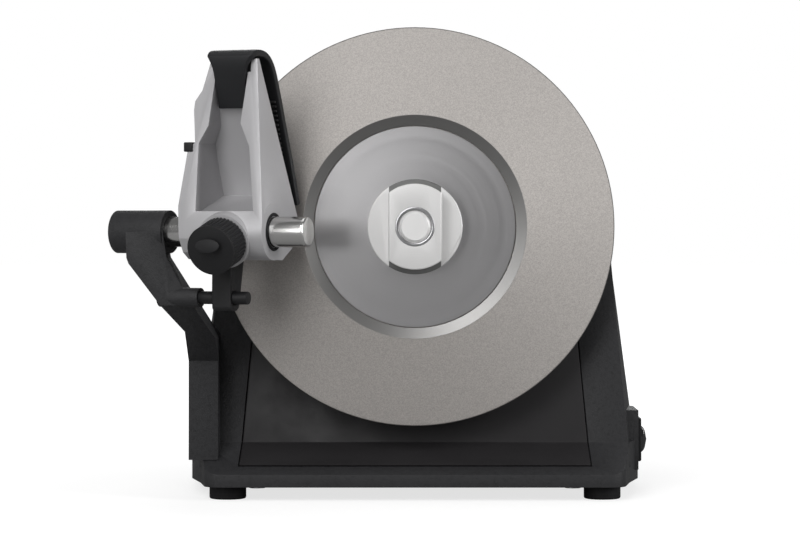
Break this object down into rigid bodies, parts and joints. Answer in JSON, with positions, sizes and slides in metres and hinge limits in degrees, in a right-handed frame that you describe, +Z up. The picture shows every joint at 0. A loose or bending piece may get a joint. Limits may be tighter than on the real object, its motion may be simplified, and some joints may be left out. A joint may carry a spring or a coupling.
{
  "type": "electric knife sharpener",
  "caption": "Electric knife sharpener with a conical diamond wheel, a honing wheel behind it and a knife guide that slides and tilts on a rod.",
  "frame": {"origin": "centre of the footprint box at table height", "axes": "+Z up, +X to the switch side, +Y away from the diamond wheel's side"},
  "size_m": [0.2563, 0.2761, 0.225],
  "materials": {
    "casting": "satin fine texture",
    "panel": "satin",
    "rubber": "matte",
    "diamond": "fine sparkle",
    "honing": "matte",
    "brushed": "brushed",
    "nut": "satin",
    "chrome": "polished",
    "zinc": "satin",
    "black_plastic": "satin",
    "strap": "satin",
    "rocker": "gloss",
    "steel": "machined",
    "copper": "enamelled"
  },
  "bodies": {
    "machine_body": {"housing": "casting", "wheel_side_panel": "panel", "honing_side_panel": "panel", "base_plate": "panel", "base_plate_screws": "steel", "foot_front_left": "rubber", "foot_front_right": "rubber", "foot_rear_left": "rubber", "foot_rear_right": "rubber", "guide_arm": "casting", "guide_rod": "chrome", "rod_set_screw": "steel", "support_pin": "black_plastic", "wheel_bearing": "steel", "honing_bearing": "steel", "gear_plate": "steel", "bearing_plate": "steel", "plate_posts": "steel", "motor_stator": "steel", "front_winding": "copper", "rear_winding": "copper", "motor_shield": "steel", "motor_spacer": "black_plastic", "run_capacitor": "black_plastic", "terminal_block": "black_plastic", "switch_body": "black_plastic", "power_inlet": "black_plastic", "inlet_pins": "steel"},
    "wheel_set": {"grinding_wheel": "diamond", "wheel_disc": "brushed", "honing_wheel": "honing", "honing_disc": "brushed", "main_shaft": "chrome", "wheel_flange": "steel", "honing_flange": "steel", "main_gear": "steel"},
    "wheel_lock": {"wheel_nut": "nut"},
    "honing_lock": {"honing_nut": "nut"},
    "middle_set": {"middle_shaft": "chrome", "middle_gear": "steel", "middle_pinion": "steel"},
    "motor_set": {"motor_rotor": "steel", "motor_shaft": "chrome", "motor_pinion": "steel", "cooling_fan": "black_plastic"},
    "lever": {"angle_lever": "black_plastic"},
    "guide": {"knife_guide": "zinc", "blade_presser": "strap"},
    "knob": {"clamp_knob": "black_plastic", "clamp_screw": "steel"},
    "rocker": {"switch_rocker": "rocker"}
  },
  "joints": [
    {"name": "wheel_spin", "type": "hinge", "parent": "machine_body", "child": "wheel_set", "pos_m": [0.0148, -0.064, 0.13], "axis": [0, 1, 0], "continuous": true},
    {"name": "middle_spin", "type": "hinge", "parent": "machine_body", "child": "middle_set", "pos_m": [0.04517, 0.016, 0.0938], "axis": [0, 1, 0], "continuous": true},
    {"name": "motor_spin", "type": "hinge", "parent": "machine_body", "child": "motor_set", "pos_m": [0.03091, -0.014, 0.06322], "axis": [0, 1, 0], "continuous": true},
    {"name": "wheel_nut_turn", "type": "hinge", "parent": "wheel_set", "child": "wheel_lock", "pos_m": [0.0148, -0.084, 0.13], "axis": [0, 1, 0], "range_deg": [0, 90]},
    {"name": "honing_nut_turn", "type": "hinge", "parent": "wheel_set", "child": "honing_lock", "pos_m": [0.0148, 0.126, 0.13], "axis": [0, -1, 0], "range_deg": [0, 90]},
    {"name": "guide_slide", "type": "slide", "parent": "machine_body", "child": "lever", "axis": [0.9205, -0.3907, 0], "range_m": [-0.005, 0.009]},
    {"name": "guide_tilt", "type": "hinge", "parent": "lever", "child": "guide", "pos_m": [-0.069, -0.108, 0.1276], "axis": [0.9205, -0.3907, 0], "range_deg": [-12, 5]},
    {"name": "clamp_knob_turn", "type": "hinge", "parent": "guide", "child": "knob", "pos_m": [-0.07271, -0.1211, 0.12321], "axis": [-0.3716, -0.8755, -0.309], "range_deg": [0, 300]},
    {"name": "switch_rock", "type": "hinge", "parent": "machine_body", "child": "rocker", "pos_m": [0.1208, -0.014, 0.026], "axis": [0, 1, 0], "range_deg": [-8, 8]}
  ],
  "couplings": [
    {"joint": "middle_spin", "follows": "wheel_spin", "ratio": -3.5},
    {"joint": "motor_spin", "follows": "wheel_spin", "ratio": 12.25}
  ]
}
